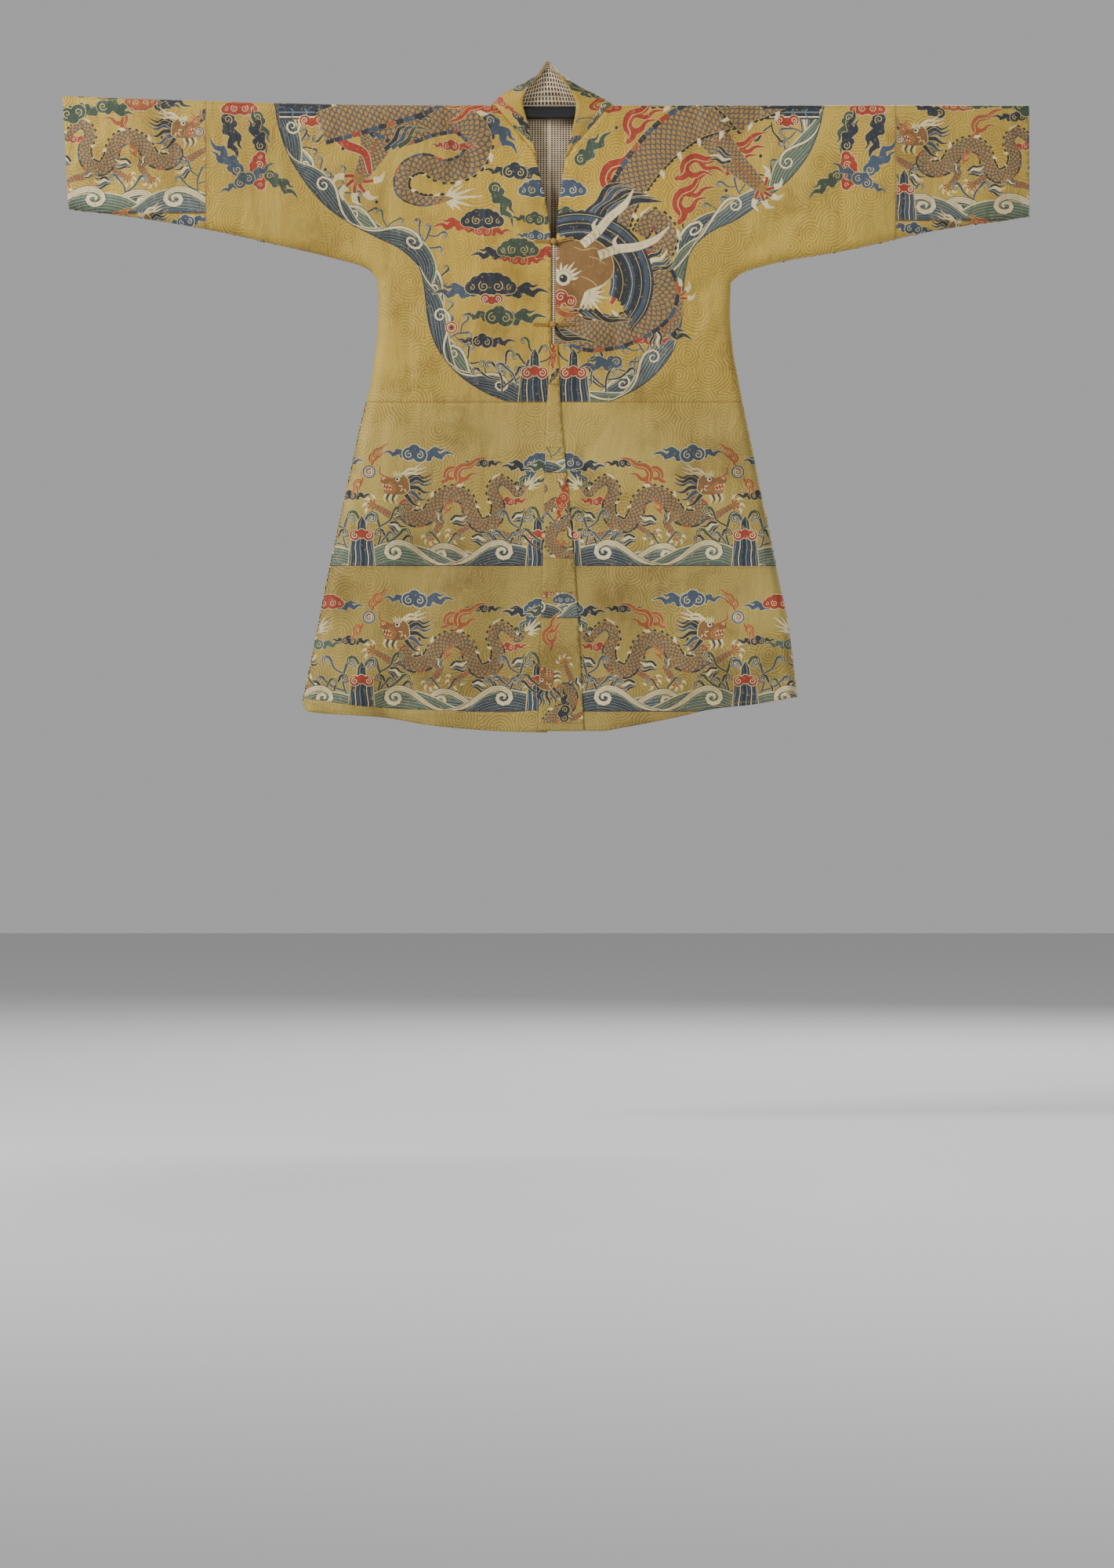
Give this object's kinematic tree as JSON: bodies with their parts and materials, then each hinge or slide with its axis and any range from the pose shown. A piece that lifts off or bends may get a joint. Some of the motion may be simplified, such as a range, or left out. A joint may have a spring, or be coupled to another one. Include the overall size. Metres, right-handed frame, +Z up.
{
  "type": "chuba on a display rod",
  "caption": "Long-sleeved, calf-length wrap coat of patterned yellow silk with a V neck, small folded collar and pieced front band, hung flat on a straight rod.",
  "frame": {"origin": "middle of the rod's axis, at the neck", "axes": "+Z up, +X along the rod towards the viewer's right of the front, -Y the way the front faces"},
  "size_m": [1.848, 0.082, 1.286],
  "materials": {
    "silk": "soft satin weave with coloured dragons, clouds and waves",
    "lining": "matt printed cotton with rows of small dark squares",
    "cord": "dull gold twisted cord",
    "rod": "satin black"
  },
  "bodies": {
    "root": {"rod": "rod", "bodice_right": "silk", "bodice_left": "silk", "cuff_right": "silk", "cuff_left": "silk", "skirt_front_right": "silk", "skirt_front_left": "silk", "skirt_back_right": "silk", "skirt_back_left": "silk", "hem_front_right": "silk", "hem_back_right": "silk", "hem_back_left": "silk", "front_strip": "silk", "collar": "silk", "collar_lining": "lining", "body_lining": "lining", "knot_upper": "cord", "cord_upper_right": "cord", "cord_upper_left": "cord", "knot_lower": "cord", "cord_lower_right": "cord", "cord_lower_left": "cord"}
  },
  "joints": []
}
